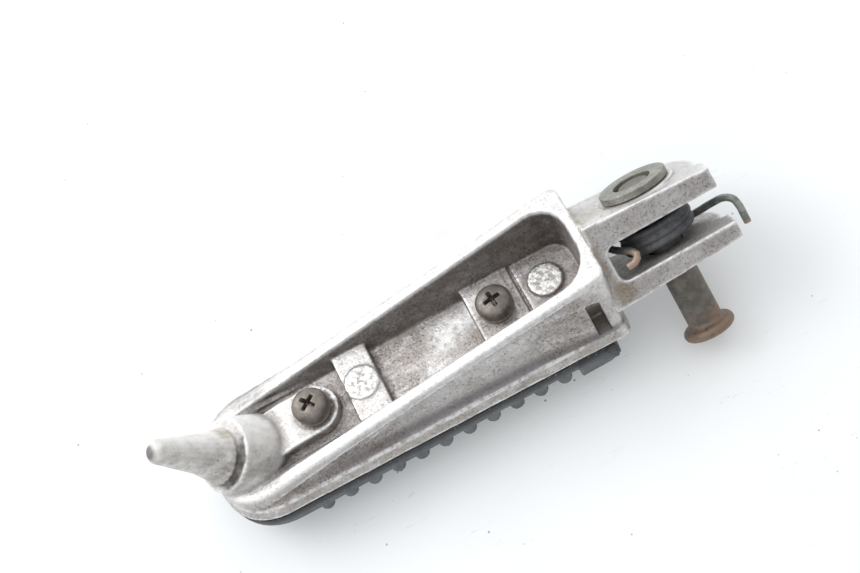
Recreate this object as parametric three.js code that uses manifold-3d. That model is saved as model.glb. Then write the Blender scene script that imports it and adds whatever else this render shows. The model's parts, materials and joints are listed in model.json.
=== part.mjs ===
// A motorcycle foot peg lying cavity up: a die-cast trough on a rubber tread pad, with a bank-feeler
// prong at its outer end and a fork with a sprung pivot pin at its inner end.
// Millimetres, +Z up. Inside the peg group +X runs towards the fork, +Z out of the cavity and Z = 0
// is the joint between casting and rubber. The pivot axis leans PIN_TILT away from the XY plane.

import * as THREE from "three";
import { mergeVertices } from "three/addons/utils/BufferGeometryUtils.js";
import Module from "manifold-3d";

const wasm = await Module();
wasm.setup();

// ---------------------------------------------------------------- driving dimensions
const GAP = 0.3; // play between pieces that touch
const BEYOND = 60; // reach of a cutting solid: past every face of the casting
const FINE = 40; // sides of a large round
const COARSE = 24; // sides of a small one

// casting, along X
const BODY_END = -18.9; // fork end of the trough
const BODY_TIP = -141.5; // outer end of the flange
const NOSE = 18; // length of the rounded outer end
const NOSE_POWER = 2.5; // squareness of the rounded outer end
const CORNER = 3; // rounding of the fork-end corners

// casting, across and up
const FLANGE_HALF_END = 22.7;
const FLANGE_HALF_TIP = 19.8;
const RIM_HALF_END = 16.0;
const RIM_HALF_TIP = 15.2;
const RIM_HEIGHT_END = 25.0; // rim height at the fork end
const RIM_SLOPE = 0.157; // fall of the rim towards the tip
const RIM_SETBACK = 0.9; // how far the rim's tip stands back from the flange's
const RIM_WIDTH = 3.3;
const RIM_BEAD = 2.0; // height of the bead that stands proud of the flank
const LIP_HEIGHT = 4.6;
const LIP_DRAFT = 0.8;
const PANEL_DEPTH = 0.9; // how far the flank panels are sunk
const PANEL_FADE = 20; // length over which they run out at the fork end
const PANEL_NOSE = 9; // full flank left at the tip
const COVE_DEPTH = 2.4; // hollow between lip and panel
const COVE_HEIGHT = 4.2;
const COVE_STEPS = 4;
const COVE_LAND = 0.2; // narrow step between lip and cove
const CAVITY_FLOOR = 6.4;
const CAVITY_END = -21.8;
const CAVITY_CORNER = 9;
const CAVITY_DRAFT = 1.5; // lean of the cavity's fork-end wall
const TIP_WALL = 4.2; // wall left at the tip
const FLOOR_HALF = 9.0;
const PAD_TOP = 9.8; // height of the blocks that carry the screws and the ejector marks
const PAD_STEP = { boss: 0.2, shelf: -0.25, field: -0.7, groove: -1.3, ejector: 0.5 }; // over PAD_TOP
const BOSS_TAIL = 20; // how far from the tip the outer screw's boss begins
const OUTER_PAD = [-96.3, -86]; // ends of the block with the outer ejector mark
const INNER_PAD = [-55.9, -43.4]; // ends of the block under the inner screw
const GROOVE = [-41.3, -40.3]; // shallow groove beside it
const EJECTOR_X = [-91.3, -33.3];
const EJECTOR_RADIUS = 5.1;
const FLANK_POCKET = { x: [-28, -24], z: [4.9, 16.4], depth: 14.8 };

// tread side
const TRAY_DEPTH = 2.3;
const TRAY_INSET = 4.0;
const PLATE_THICKNESS = 1.6;
const BASE_END = 5.0; // depth of the rubber between the ribs, at the fork end
const BASE_TIP = 6.6; // and before the rounded tip
const BASE_NOSE = 3.6; // and at the very tip
const RUBBER_DEPTH = 8.6;
const RIB_PITCH = 7.48;
const RIB_WIDTH = 4.4;
const FIRST_RIB = -41.7;
const RIB_COUNT = 11;
const RIB_ROOT = 2.2; // depth at which the ribs start inside the rubber
const BLOCK_START = -37.2; // plain block at the fork end of the tread
const RUBBER_END = -24.2;

// screws
const SCREW_X = [-106.7, -48.7];
const SCREW_NAMES = ["outer", "inner"];
const THREAD_RADIUS = 3.0;
const HEAD_RADIUS = 5.3;
const HEAD_HEIGHT = 3.7;
const HEAD_EDGE = 1.1; // straight part of the head's side
const HEAD_POWER = 2.6; // squareness of the head's dome
const HEADROOM = 12; // free height over the screw seats
const SHANK_END = 0.9;
const CROSS = { long: 2.8, wide: 0.62, depth: 2.6, taper: 1.9, turns: [Math.PI / 5, Math.PI / 30] };
const LOCK_RADIUS = 5.2;
const LOCK_THICKNESS = 1.2;
const NUT_FLATS = 10;
const NUT_HEIGHT = 4.6;
const NUT_POCKET = 6.8;
const SCREW_BOSS = 7.3;

// prong
const STEP_X = -134.4;
const STEP_Z = 12.6;
const PRONG_ANGLE = THREE.MathUtils.degToRad(57); // above the XY plane, leaning outwards
const PRONG_LENGTH = 22.5;
const PRONG_BASE = 7.3;
const PRONG_NOSE = 3.5;
const BOSS_RADIUS = 10.4;
const BOSS_GROWTH = 0.16;
const BOSS_LENGTH = 16;
// rings of the flare where the prong runs into its boss
const FLARE = [
  { radius: 8.9, outward: 1.5, height: -3 },
  { radius: 8.3, outward: 1.1, height: 0 },
  { radius: 7.0, outward: 0.5, height: 3.5 },
  { radius: 5.9, outward: 0.2, height: 8 },
];

// fork
const PIVOT = new THREE.Vector3(0, -3.2, 10.2);
const PIN_TILT = THREE.MathUtils.degToRad(45);
const FORK_BURY = 2; // how far the fork runs into the trough
const FORK_GAP = 10.7;
const GAP_ROUND = 2.5;
const EAR_NEAR = 13.5; // half width on the stop side
const EAR_FAR = 15.5;
const EAR_RADIUS = 17;
const EAR_TIP = 18.6;
const STOP_WIDTH = 9.5;
const UPPER_OUTER = { root: 13.4, tip: 11.2 };
const LOWER_OUTER = { root: 11.8, tip: 10.3 };
const WEB_FACE = -15.8; // bottom of the gap between the ears
const SPOT_LEVEL = 12.6;
const SPOT_RADIUS = 11.3;
const LOWER_SPOT_LEVEL = -10.9;

// pin and washer
const PIN_RADIUS = 5;
const PIN_BORE = 5.3;
const PIN_TIP = 14.3;
const HEAD_FACE = -30.6; // inner face of the pin's head, as the pin lies drawn out
const PIN_HEAD_RADIUS = 7.6;
const PIN_HEAD_THICKNESS = 3.2;
const PIN_CHAMFER = 0.8;
const COTTER_RADIUS = 1.3;
const COTTER_FROM_TIP = 4;
const WASHER_OUTER = 10;
const WASHER_INNER = 5.6;
const WASHER_THICKNESS = 2;

// torsion spring
const WIRE_RADIUS = 1.1;
const COIL_RADIUS = 9.9;
const COIL_TURNS = 3.07;
const COIL_PITCH = 2.3;
const COIL_LOW = -3.2; // level of the lowest turn's centre line
const COIL_START = THREE.MathUtils.degToRad(-54);

// attitude on a flat surface: it lies on the far ends of its tread ribs and on the pin's head
const REST_ROLL = THREE.MathUtils.degToRad(-12.16);
const REST_TILT = THREE.MathUtils.degToRad(-0.412);

// ---------------------------------------------------------------- solids
function toManifold(geometry) {
  const bare = geometry.clone();
  bare.deleteAttribute("normal");
  bare.deleteAttribute("uv");
  const merged = mergeVertices(bare, 1e-4);
  return new wasm.Manifold(
    new wasm.Mesh({
      numProp: 3,
      vertProperties: new Float32Array(merged.attributes.position.array),
      triVerts: new Uint32Array(merged.index.array),
    }),
  );
}

function toGeometry(solid) {
  const mesh = solid.getMesh();
  const geometry = new THREE.BufferGeometry();
  geometry.setAttribute("position", new THREE.BufferAttribute(mesh.vertProperties, 3));
  geometry.setIndex(new THREE.BufferAttribute(mesh.triVerts, 1));
  geometry.computeVertexNormals();
  return geometry;
}

// A solid skinned over rings of equal point counts, capped at both ends.
function loft(rings) {
  const count = rings[0].length;
  const points = rings.flat();
  const index = [];
  for (let level = 0; level < rings.length - 1; level++) {
    for (let i = 0; i < count; i++) {
      const a = level * count + i;
      const b = level * count + ((i + 1) % count);
      index.push(a, b, b + count, a, b + count, a + count);
    }
  }
  const flat = (ring) => ring.map((p) => new THREE.Vector2(p.x, p.y));
  const last = (rings.length - 1) * count;
  for (const [a, b, c] of THREE.ShapeUtils.triangulateShape(flat(rings[0]), [])) {
    index.push(c, b, a);
  }
  for (const [a, b, c] of THREE.ShapeUtils.triangulateShape(flat(rings.at(-1)), [])) {
    index.push(last + a, last + b, last + c);
  }
  const geometry = new THREE.BufferGeometry().setFromPoints(points);
  geometry.setIndex(index);
  return geometry;
}

// A plate whose outline lies in XY, from z = low to z = high.
function plate(shape, low, high, curveSegments = 12) {
  const geometry = new THREE.ExtrudeGeometry(shape, {
    depth: high - low,
    bevelEnabled: false,
    curveSegments,
  });
  return geometry.translate(0, 0, low);
}

// A solid of revolution about Z through the given [radius, z] corners.
function turned(corners, segments = 32) {
  const profile = corners.map(([radius, z]) => new THREE.Vector2(radius, z));
  return new THREE.LatheGeometry(profile, segments).rotateX(Math.PI / 2);
}

const rod = (radius, low, high, segments = 32) =>
  turned([[0, low], [radius, low], [radius, high], [0, high]], segments);

function box(x0, x1, y0, y1, z0, z1) {
  return new THREE.BoxGeometry(x1 - x0, y1 - y0, z1 - z0).translate(
    (x0 + x1) / 2,
    (y0 + y1) / 2,
    (z0 + z1) / 2,
  );
}

// ---------------------------------------------------------------- the peg's outlines
const rimHeight = (x) => RIM_HEIGHT_END + RIM_SLOPE * (x - BODY_END);

// Tapered outline seen from above: square at the fork end, a squared-off half round at the tip.
function pegOutline({ end, tip, halfEnd, halfTip, corner, nose = NOSE }) {
  const noseStart = tip + nose;
  const half = (x) => THREE.MathUtils.mapLinear(x, end, noseStart, halfEnd, halfTip);
  const near = [];
  const cornerSteps = 5;
  for (let i = 0; i <= cornerSteps; i++) {
    const turn = (i / cornerSteps) * (Math.PI / 2);
    const x = end - corner * (1 - Math.cos(turn));
    near.push([x, half(end) - corner * (1 - Math.sin(turn))]);
  }
  const sideSteps = 5;
  for (let i = 1; i < sideSteps; i++) {
    const x = THREE.MathUtils.lerp(end - corner, noseStart, i / sideSteps);
    near.push([x, half(x)]);
  }
  const noseSteps = 12;
  for (let i = 0; i < noseSteps; i++) {
    const turn = (i / noseSteps) * (Math.PI / 2);
    const x = noseStart - nose * Math.sin(turn) ** (2 / NOSE_POWER);
    near.push([x, halfTip * Math.cos(turn) ** (2 / NOSE_POWER)]);
  }
  const side = near.map(([x, y]) => new THREE.Vector2(x, y));
  const mirrored = near.map(([x, y]) => new THREE.Vector2(x, -y)).reverse();
  return [...side, new THREE.Vector2(tip, 0), ...mirrored];
}

const flangeOutline = (inset = 0) =>
  pegOutline({
    end: BODY_END - inset,
    tip: BODY_TIP + inset,
    halfEnd: FLANGE_HALF_END - inset,
    halfTip: FLANGE_HALF_TIP - inset,
    corner: CORNER,
  });

const rimOutline = (inset = 0) =>
  pegOutline({
    end: BODY_END - inset,
    tip: BODY_TIP + RIM_SETBACK + inset,
    halfEnd: RIM_HALF_END - inset,
    halfTip: RIM_HALF_TIP - inset,
    corner: CORNER,
    nose: NOSE - RIM_SETBACK,
  });

const atHeight = (outline, height) =>
  outline.map((p) => new THREE.Vector3(p.x, p.y, typeof height === "number" ? height : height(p.x)));

// ---------------------------------------------------------------- casting
// Ring on the flank between lip and rim, at the given height and sunk by the given depth.
function flankRing(depth, height) {
  const foot = flangeOutline(LIP_DRAFT);
  const inner = flangeOutline(LIP_DRAFT + 1);
  const top = rimOutline(0);
  return foot.map((low, i) => {
    const high = top[i];
    const z = height(high.x);
    const share = (z - LIP_HEIGHT) / (rimHeight(high.x) - LIP_HEIGHT);
    const flat = low.clone().lerp(high, share);
    flat.addScaledVector(inner[i].clone().sub(low), depth(high.x));
    return new THREE.Vector3(flat.x, flat.y, z);
  });
}

// How deep the flank's panel and cove run, as a share: they fade out towards the fork.
const panelFade = (x) => THREE.MathUtils.clamp((BODY_END - CORNER - x) / PANEL_FADE, 0, 1);

// Rings of the cove above the lip; it shrinks where the rim runs low.
function coveRings() {
  const free = (x) => beadHeight(x) - LIP_HEIGHT - 3 * COVE_LAND;
  const room = (x) => THREE.MathUtils.clamp(free(x) / (2 * COVE_HEIGHT), 0, 1);
  return Array.from({ length: COVE_STEPS + 1 }, (_, i) => {
    const turn = (i / COVE_STEPS) * (Math.PI / 2);
    const rise = (x) => COVE_LAND + COVE_HEIGHT * (1 - Math.cos(turn)) * room(x);
    const sink = (x) => (COVE_LAND + COVE_DEPTH * Math.sin(turn) * room(x)) * panelFade(x);
    return flankRing(sink, (x) => LIP_HEIGHT + rise(x));
  });
}

// Underside of the rim's bead; where the rim runs low it stays just above the lip.
const beadHeight = (x) => Math.max(rimHeight(x) - RIM_BEAD, LIP_HEIGHT + 3.5 * COVE_LAND);

// The trough's outer skin, its flanks full or sunk between lip and bead.
function troughSkin(sunk) {
  const edge = 0.7;
  const step = 0.25;
  const footRound = 0.5;
  const full = () => 0;
  const rings = [
    atHeight(flangeOutline(footRound), 0),
    atHeight(flangeOutline(0), footRound),
    atHeight(flangeOutline(LIP_DRAFT), LIP_HEIGHT),
  ];
  if (sunk) {
    rings.push(...coveRings());
    rings.push(flankRing((x) => PANEL_DEPTH * panelFade(x), (x) => beadHeight(x) - step));
  }
  rings.push(flankRing(full, beadHeight));
  rings.push(flankRing(full, (x) => rimHeight(x) - edge * 0.6));
  rings.push(atHeight(rimOutline(edge), rimHeight));
  return toManifold(loft(rings));
}

// The flanks stay full at the tip, where the sunk panels end.
function trough() {
  const nosePost = box(BODY_TIP - BEYOND, BODY_TIP + PANEL_NOSE, -BEYOND, BEYOND, -BEYOND, BEYOND);
  return troughSkin(true).add(troughSkin(false).intersect(toManifold(nosePost)));
}

function cavity() {
  const tipShare = 0.4; // the side walls are steeper at the tip
  const foot = 1;
  const outline = (inset, end) =>
    pegOutline({
      end,
      tip: BODY_TIP + TIP_WALL + inset,
      halfEnd: RIM_HALF_END - RIM_WIDTH - inset,
      halfTip: RIM_HALF_TIP - RIM_WIDTH - inset * tipShare,
      corner: CAVITY_CORNER - inset,
      nose: NOSE - 5,
    });
  const floorInset = RIM_HALF_END - RIM_WIDTH - FLOOR_HALF;
  const edge = 0.6;
  return toManifold(
    loft([
      atHeight(outline(floorInset + foot, CAVITY_END - CAVITY_DRAFT - foot), CAVITY_FLOOR),
      atHeight(outline(floorInset, CAVITY_END - CAVITY_DRAFT), CAVITY_FLOOR + foot),
      atHeight(outline(0, CAVITY_END), (x) => rimHeight(x) - edge),
      atHeight(outline(-edge * 2, CAVITY_END + edge * 2), (x) => rimHeight(x) + edge),
    ]),
  );
}

// Raised pads on the cavity floor: bosses and blocks that carry the screws and the ejector marks.
function floorPads() {
  const low = CAVITY_FLOOR - 2;
  const wide = FLOOR_HALF + 3;
  const end = CAVITY_END + 1;
  const start = INNER_PAD[0] + 1;
  const boss = new THREE.Shape();
  boss.absarc(SCREW_X[0], 0, SCREW_BOSS, -Math.PI / 2, Math.PI / 2, false);
  boss.lineTo(BODY_TIP + BOSS_TAIL, SCREW_BOSS);
  boss.lineTo(BODY_TIP + BOSS_TAIL, -SCREW_BOSS);
  boss.closePath();
  const block = (x0, x1, step) => box(x0, x1, -wide, wide, low, PAD_TOP + step);
  const mark = rod(EJECTOR_RADIUS, low, PAD_TOP + PAD_STEP.ejector, COARSE);
  const pads = [
    plate(boss, low, PAD_TOP + PAD_STEP.boss, COARSE),
    block(...OUTER_PAD, 0),
    block(...INNER_PAD, 0),
    block(start, end, PAD_STEP.groove),
    block(start, GROOVE[0], PAD_STEP.shelf),
    block(GROOVE[1], end, PAD_STEP.field),
    ...EJECTOR_X.map((x) => mark.clone().translate(x, 0, 0)),
  ];
  return pads.map(toManifold).reduce((all, pad) => all.add(pad));
}

// Direction from the step towards the prong's tip, and the frame that stands on the step.
const prongFrame = new THREE.Matrix4()
  .makeTranslation(STEP_X, 0, STEP_Z)
  .multiply(new THREE.Matrix4().makeRotationY(-(Math.PI / 2 - PRONG_ANGLE)));

function prong() {
  const noseSteps = 9;
  const noseHeight = PRONG_NOSE * 0.8;
  const bury = 2;
  const corners = [[0, -bury], [PRONG_BASE, -bury], [PRONG_NOSE, PRONG_LENGTH]];
  for (let i = 1; i < noseSteps; i++) {
    const turn = (i / noseSteps) * (Math.PI / 2);
    corners.push([PRONG_NOSE * Math.cos(turn), PRONG_LENGTH + noseHeight * Math.sin(turn)]);
  }
  corners.push([0, PRONG_LENGTH + noseHeight]);
  const cone = toManifold(turned(corners, COARSE));
  const ring = ({ radius, outward, height }) =>
    Array.from({ length: COARSE }, (_, i) => {
      const turn = (i / COARSE) * Math.PI * 2;
      return new THREE.Vector3(radius * Math.cos(turn) - outward, radius * Math.sin(turn), height);
    });
  const flare = toManifold(loft(FLARE.map(ring)));
  return cone.add(flare).transform(prongFrame.elements);
}

function prongBoss() {
  const low = -BOSS_LENGTH;
  const corners = [[0, low], [BOSS_RADIUS - BOSS_GROWTH * low, low], [BOSS_RADIUS, 0], [0, 0]];
  return toManifold(turned(corners, FINE)).transform(prongFrame.elements);
}

// ---------------------------------------------------------------- fork
// Fork frame: x as the peg's, y towards the stop side ("near"), z along the pin towards the washer.
const forkFrame = new THREE.Matrix4().makeBasis(
  new THREE.Vector3(-1, 0, 0),
  new THREE.Vector3(0, -Math.sin(PIN_TILT), Math.cos(PIN_TILT)),
  new THREE.Vector3(0, Math.cos(PIN_TILT), Math.sin(PIN_TILT)),
);
forkFrame.setPosition(PIVOT);
// In this right-handed frame local x runs from the tips to the trough, so x is given negated.
const inFork = (x, near, level) => new THREE.Vector3(-x, near, level);

// Outline of one ear: square stop corner on the near side, round about the pin on the far side.
function earOutline() {
  const root = FORK_BURY - BODY_END;
  const tip = -EAR_TIP;
  const stopEnd = EAR_NEAR - STOP_WIDTH;
  const shape = new THREE.Shape();
  shape.moveTo(root, EAR_NEAR);
  shape.lineTo(tip, EAR_NEAR);
  shape.lineTo(tip, stopEnd);
  const arcStart = Math.PI - Math.asin(stopEnd / EAR_RADIUS);
  const arcEnd = Math.PI + Math.asin(EAR_FAR / EAR_RADIUS);
  shape.absarc(0, 0, EAR_RADIUS, arcStart, arcEnd, false);
  shape.lineTo(root, -EAR_FAR);
  shape.closePath();
  return shape;
}

// Everything between the two drafted outer faces of the fork.
function forkWedge() {
  const root = 2 * FORK_BURY - BODY_END;
  const tip = -(EAR_TIP + 1);
  const upper = (x) => THREE.MathUtils.mapLinear(x, -BODY_END, -EAR_TIP, UPPER_OUTER.root, UPPER_OUTER.tip);
  const lower = (x) => THREE.MathUtils.mapLinear(x, -BODY_END, -EAR_TIP, LOWER_OUTER.root, LOWER_OUTER.tip);
  const shape = new THREE.Shape();
  shape.moveTo(root, -lower(root));
  shape.lineTo(root, upper(root));
  shape.lineTo(tip, upper(tip));
  shape.lineTo(tip, -lower(tip));
  shape.closePath();
  return toManifold(plate(shape, -BEYOND, BEYOND).rotateX(Math.PI / 2));
}

function forkGap() {
  const half = FORK_GAP / 2;
  const centre = -WEB_FACE - GAP_ROUND;
  const shape = new THREE.Shape();
  shape.moveTo(-BEYOND, -half);
  shape.lineTo(centre, -half);
  shape.absarc(centre, GAP_ROUND - half, GAP_ROUND, -Math.PI / 2, 0, false);
  shape.absarc(centre, half - GAP_ROUND, GAP_ROUND, 0, Math.PI / 2, false);
  shape.lineTo(-BEYOND, half);
  shape.closePath();
  return toManifold(plate(shape, -BEYOND, BEYOND, 5).rotateX(Math.PI / 2));
}

function fork() {
  const block = toManifold(plate(earOutline(), -BEYOND, BEYOND, COARSE)).intersect(forkWedge());
  const upperBoss = rod(SPOT_RADIUS, SPOT_LEVEL - 2, SPOT_LEVEL, FINE);
  const upperSpot = rod(SPOT_RADIUS, SPOT_LEVEL, BEYOND, FINE);
  const lowerSpot = rod(PIN_HEAD_RADIUS + 5 * GAP, -BEYOND, LOWER_SPOT_LEVEL, FINE);
  const aboveRim = box(-BEYOND, BODY_END - GAP / 2, -BEYOND, BEYOND, RIM_HEIGHT_END - 0.5, BEYOND);
  return block
    .add(toManifold(upperBoss))
    .subtract(toManifold(upperSpot))
    .subtract(toManifold(lowerSpot))
    .subtract(forkGap())
    .transform(forkFrame.elements)
    .subtract(toManifold(aboveRim));
}

// Square recess in the near flank beside the fork.
function flankPocket() {
  const { x, z, depth } = FLANK_POCKET;
  return toManifold(box(x[0], x[1], -BEYOND, -depth, z[0], z[1]));
}

// The whole casting as one solid.
function casting() {
  const body = trough();
  const pads = floorPads().intersect(troughSkin(false));
  const overFlange = toManifold(plate(new THREE.Shape(flangeOutline(GAP)), 2 * GAP, BEYOND));
  const nearStep = toManifold(box(-3 * BEYOND, 0, -BEYOND, BEYOND, STEP_Z - 6, BEYOND));
  const feeler = prong().add(prongBoss()).intersect(overFlange.add(nearStep));
  const pinBore = toManifold(rod(PIN_BORE, -BEYOND, BEYOND, FINE)).transform(forkFrame.elements);
  return body
    .subtract(cavity())
    .subtract(flankPocket())
    .add(pads)
    .add(feeler)
    .add(fork())
    .subtract(tray())
    .subtract(screwHoles())
    .subtract(pinBore);
}

// Shallow recess on the tread side that takes the backing plate.
const trayOutline = (inset) =>
  pegOutline({
    end: RUBBER_END - 5 * GAP - inset,
    tip: BODY_TIP + TRAY_INSET + inset,
    halfEnd: FLANGE_HALF_END - TRAY_INSET - inset,
    halfTip: FLANGE_HALF_TIP - TRAY_INSET - inset,
    corner: CORNER,
    nose: NOSE - TRAY_INSET,
  });

const tray = () => toManifold(plate(new THREE.Shape(trayOutline(0)), -BEYOND, TRAY_DEPTH));

function screwHoles() {
  const top = PAD_TOP + HEADROOM;
  const holes = SCREW_X.map((x) => {
    const shank = toManifold(rod(THREAD_RADIUS + 1.5 * GAP, -GAP, top, COARSE));
    const nut = toManifold(rod(NUT_POCKET, -GAP, TRAY_DEPTH + NUT_HEIGHT + 2 * GAP, COARSE));
    const seat = toManifold(rod(HEAD_RADIUS + 2.5 * GAP, PAD_TOP, top));
    return shank.add(nut).add(seat).translate(x, 0, 0);
  });
  return holes[0].add(holes[1]);
}

// ---------------------------------------------------------------- tread pad
function ribEnds(x) {
  return THREE.MathUtils.mapLinear(x, BODY_END, BODY_TIP + NOSE, FLANGE_HALF_END, FLANGE_HALF_TIP);
}

// One cross rib with half-round ends, seen from above.
function ribShape(x, width, half) {
  const radius = width / 2;
  const shape = new THREE.Shape();
  shape.absarc(x, half - radius, radius, 0, Math.PI, false);
  shape.absarc(x, -half + radius, radius, Math.PI, 2 * Math.PI, false);
  shape.closePath();
  return shape;
}

// Level of the rubber's underside between the ribs: it deepens towards the tip and rises in the nose.
function baseLevel(x) {
  const start = BODY_TIP + NOSE + 2;
  const along = THREE.MathUtils.clamp((RUBBER_END - x) / (RUBBER_END - start), 0, 1);
  const nose = THREE.MathUtils.clamp((start - x) / (start - BODY_TIP), 0, 1);
  const depth = THREE.MathUtils.lerp(BASE_END, BASE_TIP, along);
  return -THREE.MathUtils.lerp(depth, BASE_NOSE, nose ** 2);
}

const rubberOutline = (inset) =>
  pegOutline({
    end: RUBBER_END,
    tip: BODY_TIP + inset,
    halfEnd: FLANGE_HALF_END - inset,
    halfTip: FLANGE_HALF_TIP - inset,
    corner: 1,
  });

function treadRubber() {
  const edge = 0.7;
  const base = toManifold(
    loft([
      atHeight(rubberOutline(GAP + edge), baseLevel),
      atHeight(rubberOutline(GAP), (x) => baseLevel(x) + edge),
      atHeight(rubberOutline(GAP / 3), -GAP),
    ]),
  );
  const solids = [base];
  for (let i = 0; i < RIB_COUNT; i++) {
    const x = FIRST_RIB - i * RIB_PITCH;
    const rib = ribShape(x, RIB_WIDTH, ribEnds(x));
    solids.push(toManifold(plate(rib, -RUBBER_DEPTH, -RIB_ROOT, 8)));
  }
  const half = FLANGE_HALF_END;
  solids.push(toManifold(box(BLOCK_START, RUBBER_END, -half, half, -RUBBER_DEPTH, -RIB_ROOT / 2)));
  return solids.reduce((all, solid) => all.add(solid));
}

function backingPlate() {
  const outline = new THREE.Shape(trayOutline(2 * GAP));
  const solid = toManifold(plate(outline, 0, PLATE_THICKNESS));
  const hole = toManifold(rod(THREAD_RADIUS + 2 * GAP, -BEYOND, BEYOND, COARSE));
  const holes = SCREW_X.map((x) => hole.translate(x, 0, 0));
  return solid.subtract(holes[0]).subtract(holes[1]);
}

// ---------------------------------------------------------------- fasteners
function hexShape(flats) {
  const corner = flats / Math.sqrt(3);
  const shape = new THREE.Shape();
  for (let i = 0; i < 6; i++) {
    const turn = (i * Math.PI) / 3;
    const move = i === 0 ? "moveTo" : "lineTo";
    shape[move](corner * Math.cos(turn), corner * Math.sin(turn));
  }
  shape.closePath();
  return shape;
}

function weldNut() {
  const low = PLATE_THICKNESS + GAP;
  const blank = toManifold(plate(hexShape(NUT_FLATS), low, low + NUT_HEIGHT));
  return blank.subtract(toManifold(rod(THREAD_RADIUS + GAP, -BEYOND, BEYOND, COARSE)));
}

// Split spring washer, drawn flat.
function lockWasher() {
  const low = PAD_TOP + GAP;
  const ring = toManifold(rod(LOCK_RADIUS, low, low + LOCK_THICKNESS));
  const slit = toManifold(box(0, BEYOND, -0.5, 0.5, -BEYOND, BEYOND));
  const hole = toManifold(rod(THREAD_RADIUS + GAP, -BEYOND, BEYOND, COARSE));
  return ring.subtract(hole).subtract(slit);
}

// Pan head with a cross recess, and its shank.
function padScrew(turn) {
  const seat = PAD_TOP + 2 * GAP + LOCK_THICKNESS;
  const dome = seat + HEAD_EDGE;
  const domeHeight = HEAD_HEIGHT - HEAD_EDGE;
  const domeSteps = 7;
  const corners = [[0, SHANK_END], [THREAD_RADIUS, SHANK_END], [THREAD_RADIUS, seat], [HEAD_RADIUS, seat]];
  for (let i = 0; i < domeSteps; i++) {
    const slope = (i / domeSteps) * (Math.PI / 2);
    const radius = HEAD_RADIUS * Math.cos(slope) ** (2 / HEAD_POWER);
    corners.push([radius, dome + domeHeight * Math.sin(slope) ** (2 / HEAD_POWER)]);
  }
  corners.push([0, seat + HEAD_HEIGHT]);
  const blank = toManifold(turned(corners));
  const slot = (angle) => toManifold(crossSlot(seat + HEAD_HEIGHT).rotateZ(angle));
  return blank.subtract(slot(turn)).subtract(slot(turn + Math.PI / 2));
}

// One slot of the cross recess, narrower at its bottom.
function crossSlot(top) {
  const ring = (share, height) => {
    const long = CROSS.long * share;
    const wide = CROSS.wide * share;
    const corners = [[-long, -wide], [long, -wide], [long, wide], [-long, wide]];
    return corners.map(([x, y]) => new THREE.Vector3(x, y, height));
  };
  return loft([ring(1 / CROSS.taper, top - CROSS.depth), ring(1, top + GAP)]);
}

// ---------------------------------------------------------------- pin, washer and spring
function pivotPin() {
  const round = PIN_HEAD_THICKNESS / 2;
  const roundSteps = 6;
  const corners = [[0, HEAD_FACE - PIN_HEAD_THICKNESS]];
  for (let i = 0; i <= roundSteps; i++) {
    const turn = (i / roundSteps - 0.5) * Math.PI;
    const radius = PIN_HEAD_RADIUS - round * (1 - Math.cos(turn));
    corners.push([radius, HEAD_FACE - round * (1 - Math.sin(turn))]);
  }
  corners.push([PIN_RADIUS + PIN_CHAMFER, HEAD_FACE], [PIN_RADIUS, HEAD_FACE + PIN_CHAMFER]);
  corners.push([PIN_RADIUS, PIN_TIP - PIN_CHAMFER], [PIN_RADIUS - PIN_CHAMFER, PIN_TIP], [0, PIN_TIP]);
  const blank = toManifold(turned(corners, FINE));
  const hole = rod(COTTER_RADIUS, -BEYOND, BEYOND, COARSE).rotateX(Math.PI / 2);
  return blank.subtract(toManifold(hole.translate(0, 0, PIN_TIP - COTTER_FROM_TIP)));
}

function pinWasher() {
  const low = SPOT_LEVEL + GAP;
  const ring = toManifold(rod(WASHER_OUTER, low, low + WASHER_THICKNESS, FINE));
  return ring.subtract(toManifold(rod(WASHER_INNER, -BEYOND, BEYOND, FINE)));
}

// Round wire swept along a path.
function wire(path, steps, sides = 10) {
  const section = new THREE.Shape();
  for (let i = 0; i < sides; i++) {
    const turn = (i / sides) * Math.PI * 2;
    const move = i === 0 ? "moveTo" : "lineTo";
    section[move](WIRE_RADIUS * Math.cos(turn), WIRE_RADIUS * Math.sin(turn));
  }
  section.closePath();
  const swept = new THREE.ExtrudeGeometry(section, { steps, extrudePath: path, bevelEnabled: false });
  return toManifold(swept);
}

class Coil extends THREE.Curve {
  getPoint(t, target = new THREE.Vector3()) {
    const turn = COIL_START - t * COIL_TURNS * Math.PI * 2;
    const level = COIL_LOW + t * COIL_TURNS * COIL_PITCH;
    return target.set(-COIL_RADIUS * Math.cos(turn), COIL_RADIUS * Math.sin(turn), level);
  }
}

// Long leg: runs out between the ear tips, then turns down beside them to hook the peg's bracket.
function hookLeg() {
  const path = new THREE.CatmullRomCurve3(
    [
      inFork(6.15, -7.78, -3.2),
      inFork(9.3, -5.5, -3.3),
      inFork(12.8, -2.8, -2.6),
      inFork(16.6, 0.6, -1.5),
      inFork(19.8, 3.6, -1.0),
      inFork(21.6, 5.2, -2.1),
      inFork(22.2, 5.6, -4.6),
      inFork(22.2, 5.6, -7.2),
      inFork(22.2, 5.6, -9.8),
    ],
    false,
    "centripetal",
  );
  return wire(path, 30);
}

// Short leg: bears on the gap's root and ends in a small hook on the near side.
function shortLeg() {
  const path = new THREE.CatmullRomCurve3(
    [
      inFork(1.35, -9.82, 3.87),
      inFork(-3.2, -10.6, 3.8),
      inFork(-7.6, -11.2, 3.4),
      inFork(-11.6, -10.0, 2.6),
      inFork(-13.8, -6.2, 2.2),
      inFork(-14.1, -1.0, 1.7),
      inFork(-13.4, 3.6, 1.5),
      inFork(-11.6, 8.0, 1.2),
      inFork(-9.6, 11.0, 0.7),
      inFork(-8.9, 12.7, -0.4),
      inFork(-10.0, 13.4, -1.6),
      inFork(-12.6, 13.0, -2.1),
    ],
    false,
    "centripetal",
  );
  return wire(path, 36);
}

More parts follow.
